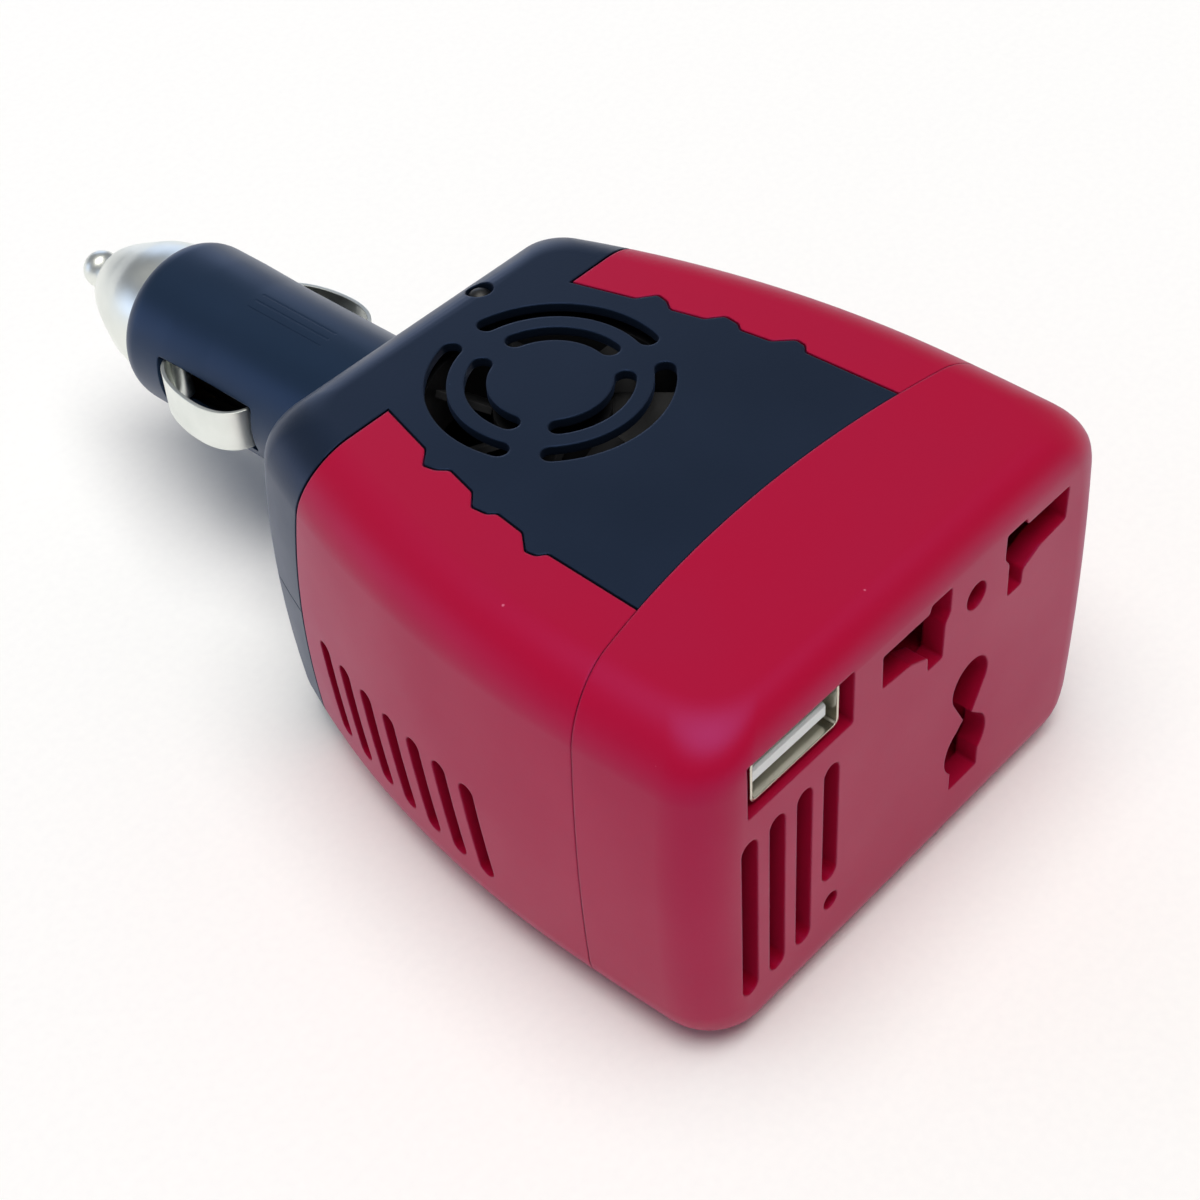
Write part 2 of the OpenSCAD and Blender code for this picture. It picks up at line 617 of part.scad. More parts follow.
module housing_screws() placed() color("dimgray") column_places() {
    difference() {
        translate([0, 0, 0.8]) cylinder(r = screw_head_r, h = 1.6);
        for (a = [0, 90]) translate([0, 0, 0.8]) rotate([0, 0, a]) cube([2.8, 0.5, 1.4], center = true);
    }
    translate([0, 0, 2.3]) cylinder(r = screw_r, h = 29);
}

upper_shell();
lower_shell();
left_side_panel();
right_side_panel();
front_cover();
indicator_led();
plug_barrel();
nose_cap();
tip_contact();
tip_spring();
fuse_glass();
fuse_end_caps();
fuse_sleeve();
tip_terminal();
left_contact();
right_contact();
contact_posts();
contact_ring();
positive_lead();
negative_lead();
fan_frame();
fan_stator();
fan_bush();
fan_rotor();
fan_shaft();
fan_screws();
main_board();
board_screws();
transformer_core();
transformer_winding();
input_capacitors();
output_capacitor();
heat_sinks();
power_transistors();
control_chip();
usb_shell();
usb_tongue();
usb_pins();
usb_board();
outlet_boss();
outlet_carrier();
live_contact();
neutral_contact();
earth_contact();
housing_screws();
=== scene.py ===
import math
import bmesh
import bpy
from mathutils import Matrix, Vector


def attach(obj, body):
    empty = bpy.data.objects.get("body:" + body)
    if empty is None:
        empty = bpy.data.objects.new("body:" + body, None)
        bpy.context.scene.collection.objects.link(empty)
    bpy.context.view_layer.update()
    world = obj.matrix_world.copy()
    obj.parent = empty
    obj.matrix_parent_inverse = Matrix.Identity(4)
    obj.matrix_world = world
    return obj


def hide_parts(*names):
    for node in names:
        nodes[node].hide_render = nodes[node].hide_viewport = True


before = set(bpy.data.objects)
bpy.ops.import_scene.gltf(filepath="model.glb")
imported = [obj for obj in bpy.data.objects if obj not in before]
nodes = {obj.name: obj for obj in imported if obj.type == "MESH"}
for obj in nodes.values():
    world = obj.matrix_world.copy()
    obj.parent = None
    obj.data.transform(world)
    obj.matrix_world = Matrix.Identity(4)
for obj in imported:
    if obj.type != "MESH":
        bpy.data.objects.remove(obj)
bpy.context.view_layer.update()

# everything is modelled in millimetres, as (x across, s back from the outlet face, z up),
# and put in its place at the end
frontY = -65.1
toRow = Matrix.Scale(0.001, 4) @ Matrix.Translation((0, frontY, 0))
scratch = []


# small tools for the meshes

def addObject(bm, name="scratch"):
    mesh = bpy.data.meshes.new(name)
    bm.to_mesh(mesh)
    bm.free()
    obj = bpy.data.objects.new(name, mesh)
    bpy.context.scene.collection.objects.link(obj)
    scratch.append(obj)
    return obj


def bake(obj):
    bpy.context.view_layer.update()
    graph = bpy.context.evaluated_depsgraph_get()
    mesh = bpy.data.meshes.new_from_object(obj.evaluated_get(graph))
    obj.modifiers.clear()
    obj.data = mesh
    return obj


def combine(base, operation, *tools):
    for tool in tools:
        modifier = base.modifiers.new("shape", "BOOLEAN")
        modifier.operation = operation
        modifier.solver = "MANIFOLD"
        modifier.object = tool
    return bake(base)


def opened(obj):
    bm = bmesh.new()
    bm.from_mesh(obj.data)
    return bm


def copyOf(obj):
    return addObject(opened(obj))


def mirrored(obj):
    bm = opened(obj)
    bmesh.ops.scale(bm, vec=(-1, 1, 1), verts=bm.verts)
    bmesh.ops.reverse_faces(bm, faces=bm.faces)
    return addObject(bm)


# an outline of (a, b) points pushed along one axis:
# "z" takes (x, s), "s" takes (x, z) and "x" takes (s, z)
def prism(points, low, high, along="z", rounding=0, rounded=None):
    bm = bmesh.new()
    seat = {"z": lambda a, b: (a, b, low),
            "s": lambda a, b: (a, low, b),
            "x": lambda a, b: (low, a, b)}
    push = {"z": (0, 0, high - low), "s": (0, high - low, 0), "x": (high - low, 0, 0)}
    face = bm.faces.new([bm.verts.new(seat[along](a, b)) for a, b in points])
    moved = bmesh.ops.extrude_face_region(bm, geom=[face])["geom"]
    bmesh.ops.translate(bm, vec=push[along], verts=[g for g in moved if isinstance(g, bmesh.types.BMVert)])
    if rounding:
        lengthwise = Vector(push[along]).normalized()
        edges = [e for e in bm.edges
                 if abs((e.verts[0].co - e.verts[1].co).normalized().dot(lengthwise)) > 0.99
                 and (rounded is None or rounded(e.verts[0].co))]
        bmesh.ops.bevel(bm, geom=edges, offset=rounding, segments=4, profile=0.5,
                        affect="EDGES", material=-1, clamp_overlap=True)
    bmesh.ops.recalc_face_normals(bm, faces=bm.faces)
    return addObject(bm)


def rod(start, radius, length, along="z", segments=64):
    bm = bmesh.new()
    bmesh.ops.create_cone(bm, cap_ends=True, segments=segments, radius1=radius, radius2=radius, depth=length)
    bmesh.ops.translate(bm, vec=(0, 0, length / 2), verts=bm.verts)
    turn = {"z": Matrix(),
            "s": Matrix.Rotation(math.radians(-90), 4, "X"),
            "x": Matrix.Rotation(math.radians(90), 4, "Y")}
    bmesh.ops.transform(bm, matrix=Matrix.Translation(start) @ turn[along], verts=bm.verts)
    return addObject(bm)


def block(low, high):
    bm = bmesh.new()
    bmesh.ops.create_cube(bm, size=1)
    size = [high[i] - low[i] for i in range(3)]
    bmesh.ops.scale(bm, vec=size, verts=bm.verts)
    bmesh.ops.translate(bm, vec=[(high[i] + low[i]) / 2 for i in range(3)], verts=bm.verts)
    return addObject(bm)


# a piece turned about a lengthwise axis, from (radius, place along the axis) points
def turned(profile, centre, steps=128, closed=False):
    bm = bmesh.new()
    axis = Vector((0, 1, 0))
    verts = [bm.verts.new(Vector(centre) + axis * s + Vector((r, 0, 0))) for r, s in profile]
    pairs = list(zip(verts, verts[1:])) + ([(verts[-1], verts[0])] if closed else [])
    edges = [bm.edges.new(p) for p in pairs]
    bmesh.ops.spin(bm, geom=verts + edges, axis=axis, cent=centre, dvec=(0, 0, 0),
                   angle=2 * math.pi, steps=steps, use_merge=True)
    bmesh.ops.remove_doubles(bm, verts=bm.verts, dist=0.0005)
    bmesh.ops.recalc_face_normals(bm, faces=bm.faces)
    return addObject(bm)


# more points along a line, so that it reads as a curve
def smoothLine(points, steps):
    out = []
    for i in range(len(points) - 1):
        p0, p1 = points[max(i - 1, 0)], points[i]
        p2, p3 = points[i + 1], points[min(i + 2, len(points) - 1)]
        for k in range(steps):
            t = k / steps
            out.append(tuple(0.5 * (2 * p1[a] + (p2[a] - p0[a]) * t
                                    + (2 * p0[a] - 5 * p1[a] + 4 * p2[a] - p3[a]) * t * t
                                    + (3 * p1[a] - p0[a] - 3 * p2[a] + p3[a]) * t ** 3)
                             for a in (0, 1)))
    return out + [points[-1]]


def arc(centre, radius, angles):
    return [(centre[0] + radius * math.cos(a), centre[1] + radius * math.sin(a)) for a in angles]


def rectangle(left, right, low, high):
    return [(left, low), (right, low), (right, high), (left, high)]


# an upright slot's outline about its own middle
def roundEnded(length, width, steps=10):
    points = arc((0, length / 2 - width / 2), width / 2, [math.pi * i / steps for i in range(steps + 1)])
    return points + [(-a, -b) for a, b in points]


def softenEdges(obj, size, segments=2, angle=40):
    bm = opened(obj)
    edges = [e for e in bm.edges if len(e.link_faces) == 2 and e.calc_face_angle(0) > math.radians(angle)]
    bmesh.ops.bevel(bm, geom=edges, offset=size, segments=segments, profile=0.5,
                    affect="EDGES", material=-1, clamp_overlap=True)
    bm.to_mesh(obj.data)
    bm.free()
    return obj


# smooths and names a finished piece, and puts it on its body
def handOver(obj, name, material, body, replaced=(), sharpAngle=34):
    mesh = obj.data
    mesh.transform(toRow)
    bm = opened(obj)
    bmesh.ops.remove_doubles(bm, verts=bm.verts, dist=1e-7)
    for face in bm.faces:
        face.smooth = True
        face.material_index = 0
    for edge in bm.edges:
        edge.smooth = len(edge.link_faces) == 2 and edge.calc_face_angle(0) < math.radians(sharpAngle)
    bm.to_mesh(mesh)
    bm.free()
    mesh.materials.clear()
    mesh.materials.append(material)
    weighted = obj.modifiers.new("weighted", "WEIGHTED_NORMAL")
    weighted.keep_sharp = True
    weighted.weight = 80
    bake(obj)
    obj.name = name
    obj.data.name = name
    scratch.remove(obj)
    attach(obj, body)
    if replaced:
        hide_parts(*replaced)
    return obj


# materials

def linear(text):
    parts = [int(text[i:i + 2], 16) / 255 for i in (1, 3, 5)]
    return [c / 12.92 if c <= 0.04045 else ((c + 0.055) / 1.055) ** 2.4 for c in parts] + [1]


def addNode(tree, kind, settings=None, links=None):
    node = tree.nodes.new(kind)
    for key, value in (settings or {}).items():
        setattr(node, key, value)
    for key, value in (links or {}).items():
        if isinstance(value, bpy.types.NodeSocket):
            tree.links.new(value, node.inputs[key])
        else:
            node.inputs[key].default_value = value
    return node


# grain, relief, mottle, edge and streak sizes are in millimetres
looks = {
    # spark-eroded ABS with a satin skin: near-black blue, soft broad highlights, and a painted pale blue
    # reflection tint and sheen
    "mouldedBlackAbs": dict(colour="#141d2a", shade="#111924", roughness=(0.34, 0.44), ior=1.53,
                            grain=0.35, relief=0.012, mottle=14, edge=0.3, scuff="#46566c",
                            paintedReflectionTint="#8ab2ff", paintedSheen=0.06),
    # the same black on the plug, rubbed a little smoother by use; its colour is painted lighter than the
    # housing's black as painted light from the bright floor below, with the same painted pale blue reflection
    # tint
    "polishedBlackAbsPaintedLighter": dict(colour="#1b2a3c", shade="#172434", roughness=(0.3, 0.4), ior=1.53,
                             grain=0.5, relief=0.006, mottle=20, edge=0.25, scuff="#4c5d74",
                             paintedReflectionTint="#8ab2ff", paintedSheen=0.06),
    # semi-gloss ABS in crimson: deep colour, with a painted pale blue sheen and reflection tint at grazing
    # angles
    "mouldedCrimsonAbs": dict(colour="#ae062d", shade="#a50529", roughness=(0.38, 0.48), ior=1.46,
                              grain=0.4, relief=0.008, mottle=18, edge=0.35, scuff="#d96a86",
                              paintedReflectionTint="#7690ff", paintedSheen=0.07),
    # bright nickel over turned brass: pale and softly mirrored
    "nickelPlatedBrass": dict(colour="#f0f2ec", shade="#e2e5de", roughness=(0.3, 0.42), metallic=1,
                              grain=0.25, relief=0.004, mottle=5, edge=0.2),
    # nickel on rolled spring strip: pale satin with faint lengthwise rolling lines
    "nickelPlatedStrip": dict(colour="#eef1ec", shade="#dde1db", roughness=(0.3, 0.44), metallic=1,
                              grain=0.3, relief=0.005, mottle=4, edge=0.1, streak=0.25),
    # drawn steel wire and pins: bright grey
    "drawnSteel": dict(colour="#b9bbbd", shade="#9fa2a5", roughness=(0.28, 0.4), metallic=1,
                       grain=0.2, relief=0.004, mottle=3, streak=0.2),
    # folded nickel-plated steel of the port: mirror-like with a warm cast
    "nickelPlatedSteelSheet": dict(colour="#d8d4c6", shade="#c4bfb0", roughness=(0.16, 0.28), metallic=1,
                                   grain=0.3, relief=0.003, mottle=4, edge=0.06),
    # tin dipped metal: soft grey sheen
    "tinnedSteel": dict(colour="#c6c8c6", shade="#a9acaa", roughness=(0.35, 0.5), metallic=1,
                        grain=0.3, relief=0.004, mottle=3),
    # stamped brass: warm yellow with brown tarnish
    "stampedBrass": dict(colour="#d9b25a", shade="#b0883a", roughness=(0.25, 0.42), metallic=1,
                         grain=0.3, relief=0.004, mottle=4, streak=0.3),
    # gold flash on port contacts
    "goldFlashedContact": dict(colour="#e6bf62", shade="#cfa548", roughness=(0.2, 0.3), metallic=1,
                               grain=0.2, relief=0.002, mottle=2),
    # glass-filled nylon: dull near-black with a coarse grain, its colour darkened further as painted shade for
    # the parts seen deep inside the grille and openings
    "glassFilledNylon": dict(colour="#0c0d11", shade="#08090c", roughness=(0.6, 0.75), ior=1.45,
                             grain=0.5, relief=0.015, mottle=6, edge=0.15),
    # white liquid-crystal polymer of the port's tongue: slightly cool white, satin, pushed close to full white
    # as painted light on its shaded front
    "mouldedWhitePolymer": dict(colour="#f6f9f7", shade="#eef2f0", roughness=(0.35, 0.45), ior=1.5,
                                grain=0.4, relief=0.006, mottle=4, edge=0.15),
    # dark tinted epoxy dome of the lamp, unlit and dulled by handling
    "tintedEpoxy": dict(colour="#08080a", shade="#050506", roughness=(0.4, 0.5), ior=1.5,
                        grain=0.5, relief=0.002, mottle=3),
    # fibreglass board under green solder mask: glossy with a woven mottle
    "solderMaskBoard": dict(colour="#12572f", shade="#0b3f20", roughness=(0.2, 0.35), ior=1.5,
                            grain=0.6, relief=0.01, mottle=3, streak=1.2),
    # sintered ferrite: matt charcoal with sandy grain
    "sinteredFerrite": dict(colour="#3a3a3e", shade="#2a2a2d", roughness=(0.6, 0.75), ior=1.6,
                            grain=0.3, relief=0.02, mottle=3),
    # yellow polyester tape over the winding: smooth with lap lines
    "polyesterTape": dict(colour="#e0b02a", shade="#c99618", roughness=(0.2, 0.3), ior=1.55,
                          grain=0.8, relief=0.01, mottle=4, streak=1.5),
    # lacquered copper wire: orange-brown, bright on each turn
    "enamelledCopper": dict(colour="#c8743a", shade="#9a4d22", roughness=(0.22, 0.35), metallic=1,
                            grain=0.3, relief=0.01, mottle=2, streak=0.4),
    # shrunk sleeve on the big capacitors: glossy navy
    "navyShrinkSleeve": dict(colour="#1b2c5c", shade="#142147", roughness=(0.2, 0.3), ior=1.5,
                             grain=0.6, relief=0.008, mottle=5),
    # shrunk sleeve on the small capacitor: glossy black
    "blackShrinkSleeve": dict(colour="#1a1a1c", shade="#101011", roughness=(0.2, 0.3), ior=1.5,
                              grain=0.6, relief=0.008, mottle=5),
    # extruded aluminium: pale satin with die lines
    "extrudedAluminium": dict(colour="#c9cccf", shade="#b2b6ba", roughness=(0.3, 0.45), metallic=1,
                              grain=0.4, relief=0.006, mottle=4, streak=0.5),
    # transfer-moulded epoxy of the chips: matt charcoal black
    "mouldedEpoxy": dict(colour="#18181a", shade="#101012", roughness=(0.55, 0.7), ior=1.55,
                         grain=0.25, relief=0.012, mottle=2),
    # black oxide screws: dark, mottled at random with a slightly lighter grey
    "blackOxideSteel": dict(colour="#2a2a2c", shade="#19191b", roughness=(0.35, 0.5), metallic=0.8,
                            grain=0.2, relief=0.006, mottle=2, edge=0.1),
    # red and black wire insulation: soft satin vinyl
    "redVinyl": dict(colour="#b01418", shade="#8e0e12", roughness=(0.35, 0.45), ior=1.53,
                     grain=0.5, relief=0.006, mottle=4),
    "blackVinyl": dict(colour="#1c1c1e", shade="#131314", roughness=(0.35, 0.45), ior=1.53,
                       grain=0.5, relief=0.006, mottle=4),
}


# an empty material, its tree and the place on the piece
def newMaterial(name):
    material = bpy.data.materials.new(name)
    material.use_nodes = True
    tree = material.node_tree
    tree.nodes.clear()
    return material, tree, addNode(tree, "ShaderNodeTexCoord").outputs["Object"]


def makeMaterial(name, look):
    material, tree, spot = newMaterial(name)
    cloud = addNode(tree, "ShaderNodeTexNoise", {}, {
        "Vector": spot, "Scale": 1000 / look["mottle"], "Detail": 4})
    grain = addNode(tree, "ShaderNodeTexNoise", {}, {
        "Vector": spot, "Scale": 1000 / look["grain"], "Detail": 2})
    colour = addNode(tree, "ShaderNodeMixRGB", {}, {
        "Fac": cloud.outputs["Fac"], "Color1": linear(look["colour"]),
        "Color2": linear(look["shade"])}).outputs[0]
    height = grain.outputs["Fac"]
    if "streak" in look:
        stretched = addNode(tree, "ShaderNodeMapping", {}, {"Vector": spot, "Scale": (1, 0.04, 1)})
        lines = addNode(tree, "ShaderNodeTexNoise", {}, {
            "Vector": stretched.outputs[0], "Scale": 1000 / look["streak"], "Detail": 1})
        height = addNode(tree, "ShaderNodeMath", {"operation": "ADD"}, {
            0: height, 1: lines.outputs["Fac"]}).outputs[0]
    if "scuff" in look:
        # fine dust specks, 9 mm apart on average and 0.2 to 0.4 mm across: one cell is 9 mm
        cells = addNode(tree, "ShaderNodeTexVoronoi", {"feature": "F1"}, {"Vector": spot, "Scale": 1000 / 9})
        speck = addNode(tree, "ShaderNodeMapRange", {}, {
            "Value": cells.outputs["Distance"], "From Min": 0.012, "From Max": 0.02,
            "To Min": 0.8, "To Max": 0})
        colour = addNode(tree, "ShaderNodeMixRGB", {}, {
            "Fac": speck.outputs[0], "Color1": colour, "Color2": linear(look["scuff"])}).outputs[0]
    low, high = look["roughness"]
    rough = addNode(tree, "ShaderNodeMapRange", {}, {
        "Value": cloud.outputs["Fac"], "From Min": 0.3, "From Max": 0.7, "To Min": low, "To Max": high})
    bump = addNode(tree, "ShaderNodeBump", {}, {
        "Strength": 0.5, "Distance": look["relief"] / 1000, "Height": height})
    if "edge" in look:
        # moulded and plated edges are never knife sharp
        corner = addNode(tree, "ShaderNodeBevel", {"samples": 4}, {"Radius": look["edge"] / 1000})
        tree.links.new(corner.outputs[0], bump.inputs["Normal"])
    shader = addNode(tree, "ShaderNodeBsdfPrincipled", {}, {
        "Base Color": colour, "Roughness": rough.outputs[0], "Metallic": look.get("metallic", 0),
        "Normal": bump.outputs[0]})
    if "ior" in look:
        shader.inputs["IOR"].default_value = look["ior"]
    if "paintedReflectionTint" in look:
        # painted reflection: the plastics' gloss and an added sheen are tinted pale blue, standing in for blue
        # light from the surroundings
        shader.inputs["Specular Tint"].default_value = linear(look["paintedReflectionTint"])
        shader.inputs["Sheen Tint"].default_value = linear(look["paintedReflectionTint"])
        shader.inputs["Sheen Weight"].default_value = look["paintedSheen"]
        shader.inputs["Sheen Roughness"].default_value = 0.4
    addNode(tree, "ShaderNodeOutputMaterial", {}, {"Surface": shader.outputs[0]})
    return material


materials = {name: makeMaterial(name, look) for name, look in looks.items()}


# clear soda-lime fuse tube: see-through with bright rims and a faint haze in 2.5 mm clouds
def makeGlass():
    material, tree, spot = newMaterial("sodaLimeGlass")
    haze = addNode(tree, "ShaderNodeTexNoise", {}, {"Vector": spot, "Scale": 1000 / 2.5, "Detail": 2})
    rough = addNode(tree, "ShaderNodeMapRange", {}, {
        "Value": haze.outputs["Fac"], "To Min": 0.02, "To Max": 0.12})
    shader = addNode(tree, "ShaderNodeBsdfPrincipled", {}, {
        "Base Color": linear("#eef4f2"), "Roughness": rough.outputs[0], "IOR": 1.52,
        "Transmission Weight": 0.9})
    addNode(tree, "ShaderNodeOutputMaterial", {}, {"Surface": shader.outputs[0]})
    return material


materials["sodaLimeGlass"] = makeGlass()
print("materials:", len(materials))

nodeFinish = {
    "mouldedBlackAbs": ["upper_shell", "lower_shell"],
    "polishedBlackAbsPaintedLighter": ["plug_barrel"],
    "mouldedCrimsonAbs": ["left_side_panel", "right_side_panel", "front_cover", "outlet_boss"],
    "nickelPlatedBrass": ["nose_cap", "tip_contact"],
    "nickelPlatedStrip": ["left_contact", "right_contact"],
    "drawnSteel": ["tip_spring", "fan_shaft"],
    "nickelPlatedSteelSheet": ["usb_shell"],
    "tinnedSteel": ["fuse_end_caps", "contact_posts", "board_screws"],
    "stampedBrass": ["tip_terminal", "contact_ring", "fan_bush",
                     "live_contact", "neutral_contact", "earth_contact"],
    "goldFlashedContact": ["usb_pins"],
    "glassFilledNylon": ["fuse_sleeve", "fan_frame", "fan_rotor", "outlet_carrier"],
    "mouldedWhitePolymer": ["usb_tongue"],
    "tintedEpoxy": ["indicator_led"],
    "solderMaskBoard": ["main_board", "usb_board"],
    "sinteredFerrite": ["transformer_core"],
    "polyesterTape": ["transformer_winding"],
    "enamelledCopper": ["fan_stator"],
    "navyShrinkSleeve": ["input_capacitors"],
    "blackShrinkSleeve": ["output_capacitor"],
    "extrudedAluminium": ["heat_sinks"],
    "mouldedEpoxy": ["power_transistors", "control_chip"],
    "blackOxideSteel": ["fan_screws", "housing_screws"],
    "redVinyl": ["positive_lead"],
    "blackVinyl": ["negative_lead"],
    "sodaLimeGlass": ["fuse_glass"],
}
for finish, names in nodeFinish.items():
    for name in names:
        nodes[name].data.materials.clear()
        nodes[name].data.materials.append(materials[finish])
print("nodes finished:", sum(len(v) for v in nodeFinish.values()), "of", len(nodes))


# the housing's outer form

housing = dict(length=71, height=44, maxHalf=33.8, widest=20, rearFlank=125, frontFlank=350, frontCorner=6,
               rearCorner=5, sideEdge=6.4, rearEdge=5, frontEdge=4.2, sideBulge=1.3, rearBulge=2.2,
               wall=2.8, panel=1.5, coverWall=2.4, face=2.6, seam=20, seamRadius=126, seamGap=0.07)
middle = housing["height"] / 2
farLow, farHigh = (-60, -5, -5), (60, 90, 60)  # well past the housing on every side


def edgeInset(depth, radius):
    return radius - math.sqrt(max(radius ** 2 - (radius - depth) ** 2, 0)) if depth < radius else 0


# how far a level stands in, from the rounded edge and the wall's slight bulge
def inset(z, low, high, radius, bulge):
    return edgeInset(min(z - low, high - z), radius) + bulge * ((z - middle) / middle) ** 2


# the outline from above: two corner arcs and two flank arcs on each side, drawn in by three amounts
def planOutline(side, rear, front):
    h = housing
    frontR, rearR = h["frontFlank"] - side, h["rearFlank"] - side
    frontC, rearC = h["maxHalf"] - h["frontFlank"], h["maxHalf"] - h["rearFlank"]
    frontS, rearS = front + h["frontCorner"], h["length"] - rear - h["rearCorner"]
    frontTurn = math.asin((h["widest"] - frontS) / (frontR - h["frontCorner"]))
    rearTurn = math.asin((rearS - h["widest"]) / (rearR - h["rearCorner"]))
    frontX = frontC + (frontR - h["frontCorner"]) * math.cos(frontTurn)
    rearX = rearC + (rearR - h["rearCorner"]) * math.cos(rearTurn)
    quarter = math.pi / 2
    points = arc((frontX, frontS), h["frontCorner"],
                 [-quarter + i * (quarter - frontTurn) / 14 for i in range(15)])
    points += arc((frontC, h["widest"]), frontR, [-frontTurn + i * frontTurn / 4 for i in range(1, 4)])
    points += arc((rearC, h["widest"]), rearR, [i * rearTurn / 24 for i in range(24)])
    points += arc((rearX, rearS), h["rearCorner"],
                  [rearTurn + i * (quarter - rearTurn) / 14 for i in range(15)])
    return points + [(-x, s) for x, s in reversed(points)]


# the whole form drawn in by a wall thickness: one outline pulled up level by level
def bodyForm(draw=0):
    h = housing
    low, high, side = draw, h["height"] - draw, h["sideEdge"] - draw
    rise = [side * (1 - math.cos(math.radians(90 * i / 12))) for i in range(13)]
    straight = [low + side + (high - low - 2 * side) * i / 9 for i in range(1, 9)]
    levels = [low + r for r in rise] + straight + [high - r for r in reversed(rise)]
    bm = bmesh.new()
    face = None
    for z in levels:
        outline = planOutline(draw + inset(z, low, high, side, h["sideBulge"]),
                              draw + inset(z, low, high, h["rearEdge"] - draw, h["rearBulge"]),
                              draw + inset(z, low, high, max(h["frontEdge"] - draw, 1), 0))
        if face is None:
            face = bm.faces.new([bm.verts.new((x, s, z)) for x, s in outline])
            order = {(v.co.x, v.co.y): i for i, v in enumerate(face.verts)}
            continue
        lid = face if z > levels[1] else None
        grown = bmesh.ops.extrude_face_region(bm, geom=[face])["geom"]
        face = [g for g in grown if isinstance(g, bmesh.types.BMFace)][0]
        if lid:
            bmesh.ops.delete(bm, geom=[lid], context="FACES_ONLY")
        place = [order[(v.co.x, v.co.y)] for v in face.verts]
        for vert, i in zip(face.verts, place):
            vert.co = (outline[i][0], outline[i][1], z)
        order = {(v.co.x, v.co.y): i for v, i in zip(face.verts, place)}
    bmesh.ops.recalc_face_normals(bm, faces=bm.faces)
    return addObject(bm)


sidePanel = dict(rearRadius=138, rearHeight=8, rearPlace=62.7, gap=0.3,
                 notchRounding=0.3, notches=(21.5, 29, 52),
                 edge=[(12.6, 66), (13.8, 58), (15.9, 50.3), (17.9, 48.7), (17.6, 47.2), (16.7, 46),
                       (17.7, 42), (19.4, 40.5), (19.2, 38.6), (18.5, 37.8),
                       (19, 34), (20.8, 32), (20.6, 30.7), (19.7, 30), (20.4, 10)])


# the curved seam between the housing and its outlet cover
def seamDrum(grow=0):
    return rod((0, housing["seam"] - housing["seamRadius"], -1), housing["seamRadius"] + grow,
               housing["height"] + 2, segments=720)


# the space of the right side panel, its edges drawn in by a gap
def panelSpace(gap):
    p = sidePanel
    furthest, nearS, farS = p["notches"]
    outside = [(farHigh[0], p["edge"][-1][1]), (farHigh[0], p["edge"][0][1])]
    space = prism([(x + gap, s) for x, s in p["edge"]] + outside, -1, housing["height"] + 1,
                  rounding=p["notchRounding"], rounded=lambda c: c.x < furthest and nearS < c.y < farS)
    rearDrum = rod((5, p["rearPlace"] - p["rearRadius"] - gap, p["rearHeight"]), p["rearRadius"], 60,
                   along="x", segments=720)
    combine(space, "INTERSECT", rearDrum)
    return combine(space, "DIFFERENCE", seamDrum())


outer = bodyForm(0)
panelInner = bodyForm(housing["panel"])
shellInner = bodyForm(housing["wall"])
drum = seamDrum()
panelHollow = combine(panelSpace(0), "DIFFERENCE", panelInner)
panelHollows = [panelHollow, mirrored(panelHollow)]
print("housing form:", len(outer.data.polygons), "faces")

# openings in the housing

sideVent = dict(count=7, first=30.2, pitch=4.28, height=15.4, length=13.3, width=2.2, tilt=-7, reach=(20, 50))
grille = dict(centre=48, width=2.35, thinned=17, thickness=1.1, inside=36, cut=(39, 46),
              rings=((7.85, 19.4), (12.03, 13.2)), bridges=(90, 210, 330))
screw = dict(places=[(23.2, 28), (18.5, 58.5)], well=(2.5, 3.4), hole=(1.15, 30), panelHole=(2.8, 5))
lamp = dict(x=7, s=65, radius=1.6)
plug = dict(height=23, rear=10.2, front=10.4, bore=8.4)


def ventCutters(side):
    v = sideVent
    tilt = math.radians(v["tilt"])
    low, high = sorted(side * reach for reach in v["reach"])
    out = []
    for i in range(v["count"]):
        place = v["first"] + i * v["pitch"]
        # the slot stands upright in (s, z) and leans by the tilt
        leaning = [(place + a * math.cos(tilt) - b * math.sin(tilt),
                    v["height"] + a * math.sin(tilt) + b * math.cos(tilt))
                   for a, b in roundEnded(v["length"], v["width"])]
        out.append(prism(leaning, low, high, "x"))
    return out


# arc-shaped slots in two rings, with a round end beside each bridge
def grilleCutters():
    g = grille
    half = g["width"] / 2
    cap = [math.pi * i / 10 for i in range(1, 10)]
    out = []
    for radius, end in g["rings"]:
        for bridge in g["bridges"]:
            start, stop = math.radians(bridge + end), math.radians(bridge + 120 - end)
            rim = [start + (stop - start) * i / 28 for i in range(29)]
            startPoint, stopPoint = arc((0, 0), radius, (start, stop))
            points = arc((0, 0), radius + half, rim)
            points += arc(stopPoint, half, [stop + a for a in cap])
            points += arc((0, 0), radius - half, reversed(rim))
            points += arc(startPoint, half, [start + math.pi + a for a in cap])
            out.append(prism([(x, s + g["centre"]) for x, s in points], *g["cut"]))
    return out


vents = ventCutters(1) + ventCutters(-1)
barrelHole = rod((0, 60, plug["height"]), plug["rear"] + 0.02, 20, along="s", segments=128)
grilleRecess = rod((0, grille["centre"], grille["inside"]), grille["thinned"],
                   housing["height"] - grille["thickness"] - grille["inside"])
lampHole = rod((lamp["x"], lamp["s"], 36), lamp["radius"], 20, segments=48)

# shells, which meet at middle height with a hairline gap

upper = combine(copyOf(outer), "DIFFERENCE", shellInner, drum, *panelHollows,
                block(farLow, (*farHigh[:2], middle + housing["seamGap"])),
                barrelHole, *vents, *grilleCutters(), grilleRecess, lampHole)
handOver(upper, "upperShellSkin", materials["mouldedBlackAbs"], "housing", ["upper_shell"])

